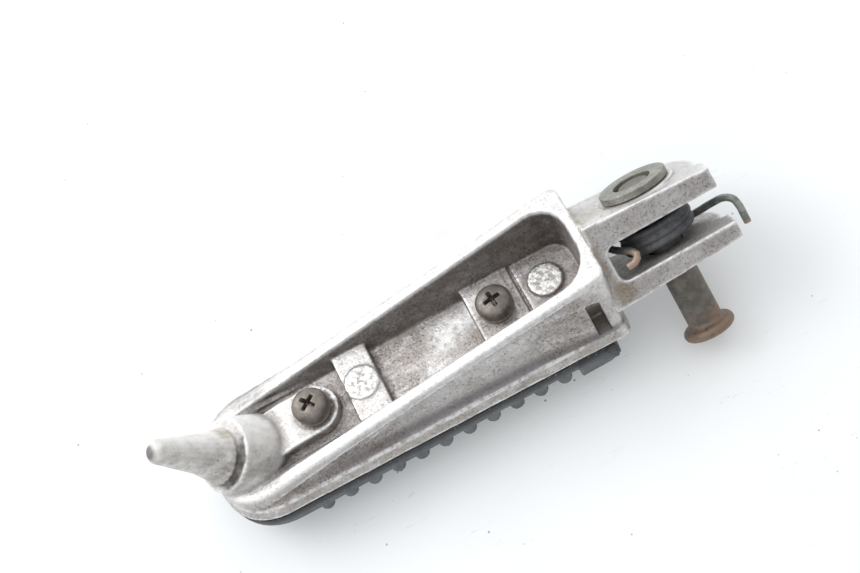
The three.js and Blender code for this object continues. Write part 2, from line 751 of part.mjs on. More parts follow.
// ---------------------------------------------------------------- assembly
const COLOURS = {
  aluminium: [0xc4c1bc, 0.48, 0.85],
  rubber: [0x2d3135, 0.85, 0],
  plate: [0x6a655e, 0.6, 0.7],
  screw: [0x5c534c, 0.55, 0.8],
  pin: [0x4a423b, 0.6, 0.8],
  washer: [0x83827a, 0.5, 0.8],
  spring: [0x34383a, 0.45, 0.6],
};

function finish(kind) {
  const [color, roughness, metalness] = COLOURS[kind];
  return new THREE.MeshStandardMaterial({ color, roughness, metalness });
}

function part(name, solid, kind) {
  const mesh = new THREE.Mesh(toGeometry(solid), finish(kind));
  mesh.name = name;
  return mesh;
}

const peg = new THREE.Group();
peg.add(part("peg_casting", casting(), "aluminium"));
peg.add(part("tread_rubber", treadRubber(), "rubber"));
peg.add(part("tread_backing_plate", backingPlate(), "plate"));
for (const [i, x] of SCREW_X.entries()) {
  const name = SCREW_NAMES[i];
  for (const piece of [
    part(`weld_nut_${name}`, weldNut(), "plate"),
    part(`lock_washer_${name}`, lockWasher(), "screw"),
    part(`pad_screw_${name}`, padScrew(CROSS.turns[i]), "screw"),
  ]) {
    piece.position.x = x;
    peg.add(piece);
  }
}

const forkGroup = new THREE.Group();
forkGroup.applyMatrix4(forkFrame);
forkGroup.add(part("pivot_pin", pivotPin(), "pin"));
forkGroup.add(part("pin_washer", pinWasher(), "washer"));
forkGroup.add(part("spring_coil", wire(new Coil(), 96, 8), "spring"));
forkGroup.add(part("spring_hook_leg", hookLeg(), "spring"));
forkGroup.add(part("spring_short_leg", shortLeg(), "spring"));
peg.add(forkGroup);
peg.rotation.set(REST_ROLL, REST_TILT, 0);

// The origin is under the middle of the bounding box, on the surface that the peg lies on.
const group = new THREE.Group();
group.add(peg);
const bounds = new THREE.Box3().setFromObject(group, true);
const middle = bounds.getCenter(new THREE.Vector3());
peg.position.set(-middle.x, -middle.y, -bounds.min.z);

export default group;
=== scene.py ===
"""A used motorcycle foot peg lying cavity up on a pale surface.

Lengths are metres in the row frame unless a name ends in _mm. The peg frame is the peg's own: +X runs
towards the fork, +Y to the far side, +Z out of the cavity, and Z = 0 is the joint of casting and tread.
"""

import json
import math
from types import SimpleNamespace

import bpy
import numpy as np
from mathutils import Matrix, Vector


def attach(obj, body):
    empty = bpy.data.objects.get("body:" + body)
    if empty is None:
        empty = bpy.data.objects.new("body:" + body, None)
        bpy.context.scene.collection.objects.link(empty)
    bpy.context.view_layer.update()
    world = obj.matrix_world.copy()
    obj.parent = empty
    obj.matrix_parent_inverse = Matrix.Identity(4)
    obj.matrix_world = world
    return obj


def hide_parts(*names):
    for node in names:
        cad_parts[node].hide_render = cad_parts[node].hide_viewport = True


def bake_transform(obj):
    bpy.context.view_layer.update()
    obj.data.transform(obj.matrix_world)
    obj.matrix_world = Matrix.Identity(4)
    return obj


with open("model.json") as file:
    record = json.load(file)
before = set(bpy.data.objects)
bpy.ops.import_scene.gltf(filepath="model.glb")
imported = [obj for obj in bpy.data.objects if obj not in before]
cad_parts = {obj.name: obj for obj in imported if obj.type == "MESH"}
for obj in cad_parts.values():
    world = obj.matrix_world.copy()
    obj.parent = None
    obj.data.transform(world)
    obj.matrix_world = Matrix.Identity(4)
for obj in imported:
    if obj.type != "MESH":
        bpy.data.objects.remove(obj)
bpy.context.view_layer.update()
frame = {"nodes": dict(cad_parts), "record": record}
MM = 0.001

# ---------------------------------------------------------------- peg frame
REST_ROLL = math.radians(-12.16)
REST_TILT = math.radians(-0.412)
PIVOT_MM = Vector((0, -3.2, 10.2))

PEG_TURN = Matrix.Rotation(REST_ROLL, 4, "X") @ Matrix.Rotation(REST_TILT, 4, "Y")
MOUNTS = {m["name"]: m for m in frame["record"]["mounts"]}
PEG_TO_ROW = Matrix.Translation(Vector(MOUNTS["pivot"]["pos_m"]) - PEG_TURN @ (PIVOT_MM * MM)) @ PEG_TURN
SQRT_HALF = math.sqrt(0.5)
PIN_AXIS = np.array((0, SQRT_HALF, SQRT_HALF))  # towards the washer, in the peg frame
STOP_AXIS = np.array((0, -SQRT_HALF, SQRT_HALF))  # towards the fork's stop side
STEP_MM = np.array((-134.4, 0, 12.6))  # where the prong stands on its boss
PRONG_ANGLE = math.radians(57)  # between the prong and the tread
PRONG_AXIS = np.array((-math.cos(PRONG_ANGLE), 0, math.sin(PRONG_ANGLE)))


def to_peg_mm(points):
    """Row-frame points in metres, as peg-frame millimetres."""
    inverse = np.array(PEG_TO_ROW.inverted())
    return (points @ inverse[:3, :3].T + inverse[:3, 3]) / MM


def ramp(value, low, high):
    """0 below low, 1 above high and smooth between."""
    t = np.clip((value - low) / (high - low), 0, 1)
    return t * t * (3 - 2 * t)


def fall(value, low, high):
    """1 below low, 0 above high and smooth between."""
    return 1 - ramp(value, low, high)


def near(value, centre, reach):
    """1 at the centre, fading to 0 at reach from it."""
    return fall(np.abs(value - centre), 0.35 * reach, reach)


def blob(p, centre, reach):
    """1 around a point of the peg frame, fading to 0 at reach from it."""
    return fall(np.linalg.norm(p - np.array(centre), axis=1), 0.3 * reach, reach)


# ---------------------------------------------------------------- meshes
def mesh_arrays(mesh):
    """Points, edges and point normals of a mesh."""
    points = np.empty(len(mesh.vertices) * 3, np.float32)
    mesh.vertices.foreach_get("co", points)
    edges = np.empty(len(mesh.edges) * 2, np.int32)
    mesh.edges.foreach_get("vertices", edges)
    normals = np.empty(len(mesh.vertices) * 3, np.float32)
    mesh.vertices.foreach_get("normal", normals)
    return points.reshape(-1, 3).astype(float), edges.reshape(-1, 2), normals.reshape(-1, 3)


def spread(values, edges, rounds):
    """Averages values over each point's neighbours, rounds times."""
    a, b = edges[:, 0], edges[:, 1]
    count = len(values)
    degree = np.bincount(a, minlength=count) + np.bincount(b, minlength=count) + 1e-9
    for _ in range(rounds):
        total = np.bincount(a, weights=values[b], minlength=count)
        total += np.bincount(b, weights=values[a], minlength=count)
        values = 0.5 * values + 0.5 * total / degree
    return values


def bend_field(points, edges, normals, rounds):
    """How far the surface stands proud of (+) or sinks below (-) its smoothed self, in mm."""
    soft = np.stack([spread(points[:, k], edges, rounds) for k in range(3)], axis=1)
    return ((points - soft) * normals).sum(1) / MM


def set_field(mesh, name, values):
    """Stores one number a point, for a material to read by its name."""
    field = mesh.attributes.get(name) or mesh.attributes.new(name, "FLOAT", "POINT")
    field.data.foreach_set("value", values.astype(np.float32))


def softened(node, name, voxel_mm, smooth, body):
    """A finely remeshed copy of a CAD node with its edges rounded; it stands for the node.

    Without a body the piece is attached to nothing.
    """
    source = frame["nodes"][node]
    piece = bpy.data.objects.new(name, source.data.copy())
    bpy.context.scene.collection.objects.link(piece)
    remesh = piece.modifiers.new("remesh", "REMESH")
    remesh.mode = "VOXEL"
    remesh.voxel_size = voxel_mm * MM
    rounding = piece.modifiers.new("round", "SMOOTH")
    rounding.factor = 0.5
    rounding.iterations = smooth
    graph = bpy.context.evaluated_depsgraph_get()
    mesh = bpy.data.meshes.new_from_object(piece.evaluated_get(graph))
    piece.modifiers.clear()
    piece.data = mesh
    mesh.name = name
    mesh.materials.clear()
    mesh.shade_smooth()
    if body:
        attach(piece, body)
    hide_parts(node)
    return piece


# ---------------------------------------------------------------- material nodes
class Graph:
    """Builds one material's nodes; a value that is a socket is linked, anything else is set."""

    def __init__(self, name):
        self.material = bpy.data.materials.new(name)
        self.material.use_nodes = True
        self.tree = self.material.node_tree
        self.tree.nodes.clear()
        self.coords = self.node("ShaderNodeTexCoord").outputs["Object"]

    def node(self, kind, settings=None, **inputs):
        made = self.tree.nodes.new(kind)
        for key, value in (settings or {}).items():
            setattr(made, key, value)
        for key, value in inputs.items():
            self.put(made.inputs[key.replace("_", " ")], value)
        return made

    def put(self, socket, value):
        if isinstance(value, bpy.types.NodeSocket):
            self.tree.links.new(value, socket)
        else:
            socket.default_value = value

    def noise(self, size_mm, detail=4.0, roughness=0.55, distortion=0.0, shift=0.0, stretch=None):
        """Noise from 0 to 1 whose features are about size_mm across."""
        scale = stretch or (1, 1, 1)
        place = (shift, shift, shift)
        where = self.node("ShaderNodeMapping", Vector=self.coords, Location=place, Scale=scale)
        found = self.node(
            "ShaderNodeTexNoise",
            Vector=where.outputs["Vector"],
            Scale=1 / (size_mm * MM),
            Detail=detail,
            Roughness=roughness,
            Distortion=distortion,
        )
        return found.outputs["Fac"]

    def cells(self, size_mm, shift=0.0):
        """Distance to the nearest of scattered points about size_mm apart, as a share of that."""
        where = self.node("ShaderNodeMapping", Vector=self.coords, Location=(shift, shift, shift))
        scale = 1 / (size_mm * MM)
        found = self.node("ShaderNodeTexVoronoi", Vector=where.outputs["Vector"], Scale=scale)
        return found.outputs["Distance"]

    def field(self, name):
        return self.node("ShaderNodeAttribute", {"attribute_name": name}).outputs["Fac"]

    def math(self, operation, a, b=0.0):
        made = self.node("ShaderNodeMath", {"operation": operation})
        self.put(made.inputs[0], a)
        self.put(made.inputs[1], b)
        return made.outputs[0]

    def times(self, a, b):
        return self.math("MULTIPLY", a, b)

    def plus(self, a, b):
        return self.math("ADD", a, b)

    def fit(self, value, low, high, to_low=0.0, to_high=1.0):
        """to_low below low, to_high above high and smooth between."""
        made = self.node(
            "ShaderNodeMapRange",
            {"interpolation_type": "SMOOTHSTEP"},
            Value=value,
            From_Min=low,
            From_Max=high,
            To_Min=to_low,
            To_Max=to_high,
        )
        return made.outputs["Result"]

    def mix(self, share, a, b, blend="MIX"):
        made = self.node("ShaderNodeMix", {"data_type": "RGBA", "blend_type": blend})
        self.put(made.inputs["Factor"], share)
        for socket, value in zip([s for s in made.inputs if s.type == "RGBA"], (a, b)):
            self.put(socket, value)
        return next(s for s in made.outputs if s.type == "RGBA")

    def bump(self, height, depth_mm, normal=None):
        made = self.node("ShaderNodeBump", Height=height, Distance=depth_mm * MM, Strength=1.0)
        if normal is not None:
            self.put(made.inputs["Normal"], normal)
        return made.outputs["Normal"]

    def finish(self, **inputs):
        shader = self.node("ShaderNodeBsdfPrincipled", **inputs)
        out = self.node("ShaderNodeOutputMaterial")
        self.tree.links.new(shader.outputs["BSDF"], out.inputs["Surface"])
        return self.material


def rgb(red, green, blue):
    """An sRGB colour of 0 to 255 as a linear one."""
    return (*(((c / 255 + 0.055) / 1.055) ** 2.4 for c in (red, green, blue)), 1.0)


def cast_aluminium():
    """Tumbled die-cast aluminium, bright where worn, brown and dark where grime gathers, with painted shade
    and painted light laid into its colour.
    """
    g = Graph("cast_aluminium")
    dirt_and_shade, dark, bright = g.field("dirt_and_shade"), g.field("dark"), g.field("bright")
    ochre, cool, pale, mottle = g.field("ochre"), g.field("cool"), g.field("pale"), g.field("mottle")
    broad = g.noise(14, detail=3)
    patch = g.noise(3.5, detail=5, shift=3)
    fine = g.noise(0.8, detail=3, roughness=0.6, shift=7)
    streak = g.noise(3.2, detail=5, roughness=0.6, shift=13, stretch=(0.45, 1, 1))

    # the metal and its oxide, then a pale tint and a purple-grey tint
    color = g.mix(g.fit(broad, 0.35, 0.65), rgb(190, 187, 187), rgb(208, 206, 206))
    color = g.mix(g.fit(patch, 0.48, 0.7, 0, 0.4), color, rgb(166, 158, 152))
    color = g.mix(g.fit(fine, 0.45, 0.7, 0, 0.45), color, rgb(142, 134, 127))
    # pale tint; in the upper part of the flank's pocket it is painted light
    color = g.mix(g.times(pale, g.fit(patch, 0.3, 0.7, 1, 0.6)), color, rgb(244, 242, 238))
    # purple-grey: painted shade in the flank's cove and the prong's step, and a cool tint elsewhere
    color = g.mix(g.times(cool, 0.9), color, rgb(104, 100, 108))

    # brown film, specks and blotches; the film is also painted shade in hollows and on the prong's near
    # side
    film_and_shade = g.times(dirt_and_shade, g.fit(streak, 0.34, 0.6, 0.2, 1))
    color = g.mix(g.times(film_and_shade, 0.85), color, rgb(120, 110, 102))
    grit = g.noise(0.7, detail=4, roughness=0.7, shift=11)
    speck = g.fit(g.plus(grit, g.times(dirt_and_shade, 0.12)), 0.56, 0.67)
    speck = g.times(speck, g.fit(pale, 0, 1, 1, 0.3))
    color = g.mix(g.times(speck, g.fit(patch, 0.35, 0.6, 0.3, 0.75)), color, rgb(92, 80, 71))
    blotch = g.fit(g.noise(4.5, detail=6, roughness=0.7, shift=17), 0.53, 0.68)
    color = g.mix(g.times(blotch, g.times(dirt_and_shade, 0.7)), color, rgb(126, 113, 101))
    pinholes = g.fit(g.cells(3.1, shift=43), 0.05, 0.1, 1, 0)
    color = g.mix(g.times(pinholes, g.fit(broad, 0.4, 0.6, 0.25, 0.85)), color, rgb(96, 86, 78))

    # ochre stains, and dark grime that is also painted shade in the trough, between the ears and round the
    # prong
    stain = g.times(ochre, g.fit(patch, 0.35, 0.6, 0.4, 1))
    color = g.mix(stain, color, rgb(158, 145, 122))
    grime_and_shade = g.times(dark, g.fit(g.noise(2.4, detail=5, shift=19), 0.28, 0.62, 0.65, 1))
    color = g.mix(g.times(grime_and_shade, 0.92), color, rgb(66, 60, 55))

    # bare metal on edges, in the ejector marks and on worn patches, lighter on the raised block and the
    # screw ring, and painted light on the far side of the prong's boss
    rubbed = g.noise(2.0, detail=5, roughness=0.65, shift=23)
    worn_and_lit = g.times(bright, g.fit(rubbed, 0.34, 0.58, 0.25, 1))
    color = g.mix(worn_and_lit, color, rgb(238, 238, 238))
    crumbs = g.noise(1.3, detail=5, roughness=0.62, shift=41)
    color = g.mix(g.times(mottle, g.fit(crumbs, 0.43, 0.58, 0.85, 0)), color, rgb(142, 136, 130))

    # relief
    grain = g.noise(0.6, detail=3, roughness=0.6, shift=29)
    dents = g.noise(2.4, detail=2, shift=37)
    pits = g.fit(g.cells(1.6, shift=31), 0.0, 0.2)
    height = g.plus(g.times(grain, 0.8), g.times(pits, 0.6))
    height = g.plus(height, g.times(g.times(crumbs, mottle), 2.5))

    # what covers the metal, painted shade included, makes it dull
    cover = g.plus(g.times(film_and_shade, 0.7), grime_and_shade)
    cover = g.plus(cover, g.times(pale, 0.85))
    return g.finish(
        Base_Color=color,
        Metallic=g.fit(cover, 0, 1, 0.9, 0.15),
        Roughness=g.plus(g.fit(fine, 0.3, 0.7, 0.3, 0.46), g.times(cover, 0.22)),
        Normal=g.bump(height, 0.09, g.bump(dents, 0.1)),
    )


def dull_metal(name, base, tint, rust_color, rust=0.3, roughness=0.45, metallic=0.8):
    """Tarnished steel: blotchy and speckled, and rusted where the piece's rust field says so."""
    g = Graph(name)
    rusty = g.field("rust")
    color = g.mix(g.fit(g.noise(3, detail=5), 0.35, 0.65), base, tint)
    spots = g.fit(g.noise(0.8, detail=3, shift=5), 0.6, 0.72)
    scuffed = (*(2.6 * c for c in base[:3]), 1.0)
    color = g.mix(g.times(spots, 0.45), color, scuffed)
    patch = g.noise(2.2, detail=6, roughness=0.65, shift=9)
    reach = g.plus(patch, g.times(rusty, 0.3))
    share = g.times(g.fit(reach, 0.6, 0.8), g.plus(rusty, rust))
    color = g.mix(share, color, rust_color)
    return g.finish(
        Base_Color=color,
        Metallic=g.fit(share, 0, 1, metallic, metallic * 0.3),
        Roughness=g.fit(g.noise(1.2, detail=4, shift=13), 0.3, 0.7, roughness - 0.1, roughness + 0.12),
        Normal=g.bump(g.plus(g.noise(0.4, detail=4), g.times(share, 0.4)), 0.05),
    )


def tread_rubber():
    """Matt black rubber, greyed by dust where its dust field says so; the black right under the flange
    stands for painted shade.
    """
    g = Graph("tread_rubber")
    dusty = g.noise(5, detail=6, roughness=0.65)
    dust_and_shade = g.times(g.field("dust_and_shade"), g.fit(dusty, 0.3, 0.65, 0.4, 1))
    specks = g.fit(g.noise(0.8, detail=3, shift=3), 0.62, 0.72, 0, 0.6)
    color = g.mix(g.fit(dusty, 0.4, 0.7), rgb(40, 42, 45), rgb(58, 61, 63))
    color = g.mix(dust_and_shade, color, rgb(112, 116, 118))
    color = g.mix(specks, color, rgb(150, 147, 140))
    height = g.plus(g.noise(0.6, detail=4), g.noise(3, detail=3))
    roughness = g.fit(dusty, 0.3, 0.7, 0.5, 0.75)
    return g.finish(Base_Color=color, Roughness=roughness, Normal=g.bump(height, 0.1))


# ---------------------------------------------------------------- casting
# places on the casting, in the peg frame's mm
FLOOR_Z = 6.4  # the trough's floor
RIM_Z, RIM_X, RIM_SLOPE = 25, -18.9, 0.157  # the rim falls from this point towards the tip
BODY_END_X = (-19.4, -18.6)  # across the face where the fork starts
MARKS = ((-91.3, 10.0, 10.25), (-33.3, 9.6, 9.9))  # ejector marks: x, and between which heights
MARK_REACH = 7.4
MARK_BLOCK_X = -91.2  # raised block under the outer mark
OUTER_SCREW_X = -106.7
POCKET_X, POCKET_Z = -26, 10.6  # recess in the near flank
GAP_LEVEL = 5.4  # half the gap between the ears, along the pin
TIP_OVER_STEP = 22.5
CREST_ROUNDS, CREST_MM = 10, 0.07  # an edge that stands this proud after so much smoothing is worn bright
HOLLOW_ROUNDS, HOLLOW_MM = 80, 0.7  # and a hollow this deep is full of grime and painted shade
WORN_PATCHES = ((1, (-64, 3, FLOOR_Z), 8), (1, (-55, 4.6, FLOOR_Z), 7), (0.5, (-70, -4, FLOOR_Z), 7))


def rim_height(x):
    return RIM_Z + RIM_SLOPE * (x - RIM_X)


def trough_masks(p, n):
    """The trough's inside and what lies in it, and the flat top of its rim."""
    x, y, z = p.T
    rim = rim_height(x)
    below = rim - z
    half = 9.8 + 3.6 * np.clip((z - FLOOR_Z) / (rim - FLOOR_Z), 0, 1)
    inside = ramp(x, -140, -136) * fall(x, -21.2, -19.6) * fall(np.abs(y), half, half + 0.8)
    inside *= ramp(below, 0.4, 1.6) * ramp(z, 5.4, 6)
    wall = inside * fall(n[:, 2], 0.45, 0.8)
    ground = inside * ramp(n[:, 2], 0.6, 0.9)
    marks = sum(near(np.hypot(x - at, y), 0, MARK_REACH) * ramp(z, low, high) for at, low, high in MARKS)
    return SimpleNamespace(
        inside=inside,
        wall=wall,
        ground=ground,
        far_wall=wall * ramp(y, 4, 8),
        end_wall=wall * ramp(x, -34, -25),
        marks=ground * marks,
        block=ground * near(x, MARK_BLOCK_X, 6.5) * ramp(z, 9, 9.6),
        outer_pad=ground * fall(x, -101, -99) * ramp(z, 8.5, 9.5),
        screw_ring=ground * near(np.hypot(x - OUTER_SCREW_X, y), 6.9, 0.9) * ramp(z, 9, 9.8),
        worn_patch=ground * sum(share * blob(p, spot, reach) for share, spot, reach in WORN_PATCHES),
        flat_rim=fall(below, 0.5, 2.2) * (1 - inside) * fall(x, *BODY_END_X),
    )


def outside_masks(p, inside):
    """The flanks, the lip of the flange and the recess beside the fork."""
    x, y, z = p.T
    flank = (1 - inside) * fall(x, *BODY_END_X) * ramp(np.abs(y), 14.5, 16)
    flank *= ramp(z, 4.2, 4.9) * ramp(rim_height(x) - z, 1.4, 2.4)
    depth = ramp(-y, 13.5, 14.4) * fall(-y, 18.5, 20.6)
    return SimpleNamespace(
        flank=flank,
        cove=flank * fall(z, 5.6, 7.6) * ramp(x, -128, -100),
        lip=ramp(z, -0.1, 0.3) * fall(z, 4.3, 4.9) * fall(x, -18, -17),
        tip_dirt_and_shade=flank * fall(x, -104, -74) * fall(z, 8, 12),
        pocket=near(x, POCKET_X, 3.6) * near(z, POCKET_Z, 8.4) * depth,
        pocket_edge=near(x, POCKET_X, 6.5) * near(z, POCKET_Z, 13) * ramp(-y, 12.5, 13.5),
        pocket_stain=flank * blob(p, (-34, -19, 12), 16),
    )


def fork_masks(p, n):
    """The fork, by level along the pin's axis and by distance towards its stop side."""
    x, _, z = p.T
    from_pin = p - np.array(PIVOT_MM)
    level, stop, up = from_pin @ PIN_AXIS, from_pin @ STOP_AXIS, n @ PIN_AXIS
    fork = ramp(x, -19.2, -18.2)
    gap = fall(np.abs(level), GAP_LEVEL, GAP_LEVEL + 0.8) * ramp(x, -16.4, -15.6)
    gap += ramp(up, 0.6, 0.9) * near(level, -GAP_LEVEL, 1.2)
    gap += ramp(-up, 0.6, 0.9) * near(level, GAP_LEVEL, 1.2)
    return SimpleNamespace(
        whole=fork,
        # painted shade between the ears, weaker towards their tips
        gap=fork * gap * (0.7 - 0.6 * ramp(x, 2, 15)),
        valley=near(x, -18.6, 1.5) * ramp(z, 3, 5) * (fork + 0.3),
        root_patch=fork * near(x, -16, 3.6) * near(level, -7.5, 4.0) * ramp(stop, 11, 13),
        upper_root=fork * near(x, -14, 6.5) * ramp(level, 11.5, 12.5) * near(stop, 2, 9),
        ear_top=fork * ramp(up, 0.6, 0.9) * ramp(level, 9, 10),
    )


def prong_masks(p, wall):
    """The prong and its boss, by height over the step between them and distance from their axis."""
    x, y, z = p.T
    from_step = p - STEP_MM
    over = from_step @ PRONG_AXIS
    away = np.linalg.norm(from_step - np.outer(over, PRONG_AXIS), axis=1)
    limit = 10.4 + 0.16 * np.clip(-over, 0, None)
    prong = fall(x, -120, -117) * ramp(z, 9, 12) * fall(away, limit + 0.3, limit + 1)
    cone = prong * ramp(over, 0.3, 0.9)
    tip = STEP_MM + PRONG_AXIS * TIP_OVER_STEP
    foot = near(x, -122, 8) * near(z, 8, 5) * fall(-y, 11, 13)
    return SimpleNamespace(
        whole=prong,
        cone=cone,
        boss=prong * (1 - cone),
        step=prong * near(over, 0.1, 1.6) * ramp(away, 6.6, 7.4) * fall(away, 9.9, 10.3),
        ring=prong * near(over, 2.4, 2.8) * ramp(y, -3, 2) * ramp(over, 0.2, 0.8),
        tip=cone * ramp(over, 21, 23),
        tip_spot=blob(p, tip + np.array((-2.3, -0.2, 2.4)), 3.4),
        boss_foot=fall(x, -117, -112) * wall + 0.8 * foot,
    )


def casting_fields(piece):
    """Fields that say where the casting is dirty, dark, worn bright, stained or pale, and where shade and
    light are painted on it.
    """
    points, edges, normals = mesh_arrays(piece.data)
    p = to_peg_mm(points)
    n = normals @ np.array(PEG_TURN.to_3x3())
    y, z = p[:, 1], p[:, 2]
    crest = np.clip(bend_field(points, edges, normals, CREST_ROUNDS) / CREST_MM, 0, 1)
    hollow = np.clip(-bend_field(points, edges, normals, HOLLOW_ROUNDS) / HOLLOW_MM, 0, 1)
    trough = trough_masks(p, n)
    outer = outside_masks(p, trough.inside)
    fork = fork_masks(p, n)
    prong = prong_masks(p, trough.wall)

    # the hollow term is grime and painted shade in concave places
    dirt_and_shade = 0.12 + 0.25 * hollow
    dirt_and_shade += 0.5 * trough.inside + 0.2 * trough.far_wall - 0.08 * trough.ground + 0.6 * trough.outer_pad
    dirt_and_shade -= 0.35 * trough.block + 0.6 * trough.marks + 0.04 * trough.flat_rim
    dirt_and_shade += 0.06 * outer.flank + 0.25 * outer.lip + 0.55 * outer.tip_dirt_and_shade + 0.45 * outer.pocket_stain
    dirt_and_shade += 0.2 * fork.whole + 0.5 * fork.root_patch - 0.5 * fork.ear_top
    # painted shade with some brown film: the prong's boss and cone darker on their near side
    dirt_and_shade += 0.4 * prong.boss * fall(y, -9, 0) + 0.75 * prong.cone * fall(y, -6, 1) - 0.1 * prong.cone

    # painted shade with grime on the trough's far wall and in its hollows; its end wall darker too
    dark = 0.6 * trough.far_wall + 0.3 * trough.end_wall + 0.35 * hollow * trough.inside
    # painted shade in the hollows near the tip and between the ears; the pocket darker towards its bottom
    dark += 0.35 * hollow * outer.tip_dirt_and_shade + 0.3 * outer.pocket * fall(z, 8, 12) + 0.35 * fork.gap
    # painted shade on the boss's near side and in the step at the prong's foot, except on its far side
    dark += 0.3 * prong.boss * fall(y, -10, -4) + 1.2 * prong.step * fall(y, -3, 6)
    dark += 0.5 * prong.boss_foot * (1 - trough.marks)

    bright = 0.8 * crest * (1 - 0.6 * trough.inside) * (1 - prong.tip) * (1 - outer.pocket_edge)
    bright += 0.7 * trough.marks + 0.3 * trough.block + 0.7 * trough.worn_patch + 0.6 * trough.screw_ring
    # painted light: the prong's boss lighter on its far side
    bright += 0.35 * outer.lip * crest + 0.5 * prong.boss * ramp(y, -6, 2)

    ochre = 0.5 * fork.valley + 0.5 * fork.root_patch + 0.4 * fork.upper_root
    ochre += 0.22 * outer.lip + 0.6 * outer.pocket * fall(z, 8, 11) + 0.12 * prong.whole + 0.55 * prong.ring

    # painted shade in the flank's cove and the prong's step, and a bluish spot on the prong's tip
    cool = 0.8 * outer.cove + 1.1 * prong.tip_spot + 0.3 * prong.step
    cool += 0.3 * trough.end_wall + 0.1 * trough.flat_rim + 0.1 * fork.ear_top

    pale = prong.cone * (1 - prong.tip_spot) + 0.95 * prong.boss + 0.36 * trough.flat_rim
    # painted light in the upper part of the pocket
    pale += 0.05 * outer.lip + 0.22 * outer.flank + 0.5 * outer.pocket * ramp(z, 8, 12)
    pale += 0.12 * fork.whole + 0.3 * fork.ear_top

    fields = {"dirt_and_shade": dirt_and_shade, "dark": dark, "bright": bright, "ochre": ochre, "cool": cool, "pale": pale}
    fields["mottle"] = trough.marks
    for name, values in fields.items():
        set_field(piece.data, name, np.clip(values, 0, 1))


casting = softened(
    "peg_casting", "casting_skin", voxel_mm=0.35, smooth=4, body="peg"
)
casting_fields(casting)
casting.data.materials.append(cast_aluminium())


# ---------------------------------------------------------------- tread
TORN_CORNER = (-24.2, -22.7, -3.5)
TORN_TOWARDS = (-30, -17, -4)
TORN_REACH = 6.5
DUST_AND_SHADE_DEPTH = (1.2, 4.5)  # below the joint the rubber gets dusty between these depths; above them it stays black as painted shade under the flange


def torn_corner(piece, corner, inner, reach):
    """Pulls the points around a corner inwards, unevenly, as torn rubber looks."""
    p = to_peg_mm(mesh_arrays(piece.data)[0])
    share = 0.3 * blob(p, corner, reach) * (1 + 0.5 * np.sin(p @ np.array((2.1, 1.3, 3.7))))
    p += share[:, None] * (np.array(inner) - p)
    to_row = np.array(PEG_TO_ROW)
    row = p * MM @ to_row[:3, :3].T + to_row[:3, 3]
    piece.data.vertices.foreach_set("co", row.astype(np.float32).ravel())
    piece.data.update()


rubber = softened("tread_rubber", "rubber_pad", voxel_mm=0.35, smooth=4, body="peg")
torn_corner(rubber, TORN_CORNER, TORN_TOWARDS, TORN_REACH)
rubber.data.materials.append(tread_rubber())
depth = -to_peg_mm(mesh_arrays(rubber.data)[0])[:, 2]
# dusty lower down; black near the flange as painted shade
set_field(rubber.data, "dust_and_shade", ramp(depth, *DUST_AND_SHADE_DEPTH))


# ---------------------------------------------------------------- screws, pin and washer
screw_steel = dull_metal(
    "screw_steel", rgb(108, 102, 96), rgb(134, 128, 122), rgb(92, 78, 70), roughness=0.5
)
for side in ("outer", "inner"):
    node, name = f"pad_screw_{side}", f"screw_{side}"
    screw = softened(node, name, voxel_mm=0.14, smooth=9, body="peg")
    screw.data.materials.append(screw_steel)


def from_pivot_mm(piece):
    """The piece's points in the peg frame, from the pivot."""
    return to_peg_mm(mesh_arrays(piece.data)[0]) - np.array(PIVOT_MM)


PIN_RUST_LEVELS = (-33, -22)  # along its axis the pin is rusty below the first, clean above the second
pin = softened("pivot_pin", "pin", voxel_mm=0.25, smooth=6, body="pin")
pin_points = from_pivot_mm(pin)
pin_rust = fall(pin_points @ PIN_AXIS, *PIN_RUST_LEVELS) + 0.5 * ramp(pin_points[:, 0], -1, 5)
set_field(pin.data, "rust", np.clip(pin_rust, 0, 1))
pin.data.materials.append(
    dull_metal(
        "pin_steel", rgb(106, 103, 97), rgb(126, 121, 114), rgb(132, 110, 93), rust=0.1, roughness=0.5
    )
)

washer = softened(
    "pin_washer", "flat_washer", voxel_mm=0.18, smooth=4, body="washer"
)
washer.data.materials.append(
    dull_metal("washer_steel", rgb(132, 131, 123), rgb(156, 155, 147), rgb(100, 88, 74))
)


# ---------------------------------------------------------------- spring
# the rusty end of each leg: along the peg, away from the stop side, and along the pin's axis
HOOK_END, HOOK_RUST_REACH = (22.2, -5.6, -9.8), 2.5
SHORT_END, SHORT_RUST_REACH = (-11, -12.8, -1.6), 6

coil = softened("spring_coil", "coil", voxel_mm=0.22, smooth=12, body=None)
coil_steel = dull_metal(
    "spring_steel",
    rgb(84, 85, 87),
    rgb(100, 101, 102),
    rgb(92, 82, 72),
    rust=0.1,
    roughness=0.6,
    metallic=0.5,
)
coil.data.materials.append(coil_steel)
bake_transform(coil)

leg_steel = dull_metal(
    "spring_leg_steel",
    rgb(122, 126, 122),
    rgb(166, 168, 164),
    rgb(162, 138, 120),
    rust=0.1,
    roughness=0.5,
    metallic=0.7,
)
LEGS = (
    ("spring_hook_leg", "hook_leg", "spring_leg", HOOK_END, HOOK_RUST_REACH),
    ("spring_short_leg", "short_leg", "peg", SHORT_END, SHORT_RUST_REACH),
)
for node, name, body, rusty_end, reach in LEGS:
    leg = softened(node, name, voxel_mm=0.16, smooth=3, body=body)
    from_pin = from_pivot_mm(leg)
    local = np.stack([from_pin[:, 0], -(from_pin @ STOP_AXIS), from_pin @ PIN_AXIS], axis=1)
    set_field(leg.data, "rust", blob(local, rusty_end, reach))
    leg.data.materials.append(leg_steel)


